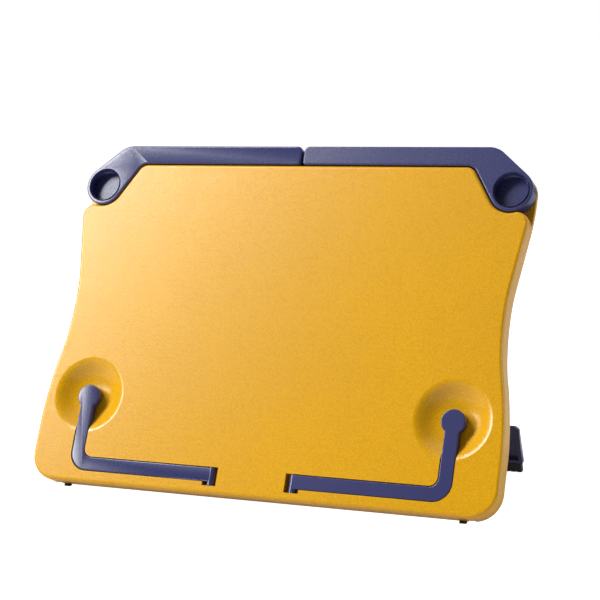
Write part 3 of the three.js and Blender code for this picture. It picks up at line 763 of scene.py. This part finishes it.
teeth(leg, 39, 40.2, 4.6, 0)
teeth(leg, -40.2, -39, 4.6, 0)
cut(leg, rod("x", -60, 60, ROD_HOLE, (0, 0), 32))
SHOE = (92, 134.4)
shoe_top = ground_under_leg(LEG_FACE) + 6.5
taper = [
    (LEG_FACE - 2, bar_top + 2, 0), (LEG_FACE - 2, bar_top - 22, 0),
    (LEG_FACE, bar_top - 22, 0), (LEG_BACK - 2.6, bar_top + 2, 0)]
for start, end in ((62, 141), (-141, -62)):
    cut(leg, plate(taper, start, end, "x"))
for side in (1, -1):
    seat = sorted((side * (SHOE[0] - 0.3), side * 150))
    cut(leg, block(seat, (-3, 9), (leg_bottom - 9, shoe_top + 0.3)))
soften(leg, 0.35, 2, 40)
settle(leg, "rear_leg_moulding", "leg", blue, "rear_leg", LEG)

# ---- Foot shoes and base pads ------------------------------------------------------------
# Black rubber shoes close the foot bar's ends, and small rubber pads are let into the rear
# shell's bottom edge. Their soles are ribbed and lie flat on the desk.
rubber = finish(
    "black_rubber", (0.012, 0.013, 0.017), (0.022, 0.023, 0.028), (0.05, 0.05, 0.055),
    (0.80, 0.62), 0.25, scale=1600.0, crease=0.3, edge_share=0.6, wide=0.0006)
sole_front, sole_back = ground_under_leg(LEG_FACE), ground_under_leg(LEG_BACK)
shoe = plate([(LEG_FACE, shoe_top, 0), (LEG_FACE, sole_front, 0), (LEG_BACK, sole_back, 0),
              (LEG_BACK, shoe_top, 0)], *SHOE, "x")
for groove in range(9):
    x = SHOE[0] + 4 + groove * 4.3
    cut(shoe, block((x, x + 0.7), (-3, 9), (sole_back - 2, sole_front + 0.35)))
soften(shoe, 0.2, 2, 40)
settle_pair(shoe, "foot_shoe_rubber", "leg", rubber, "foot_shoe", LEG)
pad_front, pad_back = 12.4, 14.6
base_height = BOARD.inverted() @ Vector((0, 0, 0))


def ground_under_board(y):
    """The height in the board's space at which the ground lies, at a place y on its depth."""
    return base_height.z + (y - base_height.y) * math.tan(lean)


pad = plate([(pad_front, 1.3, 0), (pad_front, ground_under_board(pad_front), 0),
             (pad_back, ground_under_board(pad_back), 0), (pad_back, 1.3, 0)], *PAD, "x")
soften(pad, 0.15, 2, 40)
settle_pair(pad, "base_pad_rubber", "board", rubber, "base_pad")

# ---- Click hinge -------------------------------------------------------------------------
# A steel rod carries the leg. Beside each knuckle a toothed white disc, keyed in its pocket,
# is pressed against the knuckle's teeth by a coil spring, so the leg stops in steps.
ROD_HALF = 57.6
hinge_rod = rod("x", -ROD_HALF, ROD_HALF, 1.5, (0, 0), 48)
round_edges(hinge_rod, 0.3, 3, lambda a, b: abs(a.x - b.x) < 0.01)
soften(hinge_rod, 0.02, 1, 60)
settle(hinge_rod, "leg_hinge_rod_steel", "board", zinc, "leg_hinge_rod", HINGE_SPACE)
disc = rod("x", 41.6, 44.8, 4.6, (0, 0), 64)
teeth(disc, 40.8, 42, 4.4, 15)
add(disc, block((42.6, 44.8), (-2.2, 2.2), (3.5, 4.95)))
cut(disc, rod("x", 30, 60, ROD_HOLE, (0, 0), 32))
soften(disc, 0.15, 2, 40)
acetal = finish(
    "white_acetal", (0.72, 0.71, 0.66), (0.80, 0.79, 0.75), (0.88, 0.87, 0.84),
    (0.46, 0.36), 0.04, scale=1500.0, crease=0.4, edge_share=0.4, wide=0.0005)
settle_pair(disc, "click_disc_acetal", "board", acetal, "click_disc", HINGE_SPACE)
SPRING = {"start": 45.8, "turns": 4, "pitch": 1.8, "radius": 3.2, "wire": 0.5}
bpy.ops.mesh.primitive_circle_add(
    vertices=12, radius=SPRING["wire"], location=(SPRING["start"], SPRING["radius"], 0))
spring = bpy.context.object
freeze(spring)
coil = spring.modifiers.new("coil", "SCREW")
coil.axis = "X"
coil.steps = 36
coil.iterations = SPRING["turns"]
coil.screw_offset = SPRING["pitch"]
bpy.ops.object.modifier_apply(modifier=coil.name)
bpy.ops.object.mode_set(mode="EDIT")
bpy.ops.mesh.select_all(action="SELECT")
bpy.ops.mesh.remove_doubles(threshold=0.001)
bpy.ops.mesh.select_all(action="SELECT")
bpy.ops.mesh.fill_holes(sides=0)
bpy.ops.object.mode_set(mode="OBJECT")
face_out(spring)
bpy.ops.object.shade_smooth_by_angle(angle=math.radians(50))
settle_pair(spring, "click_spring_steel", "board", zinc, "click_spring", HINGE_SPACE)
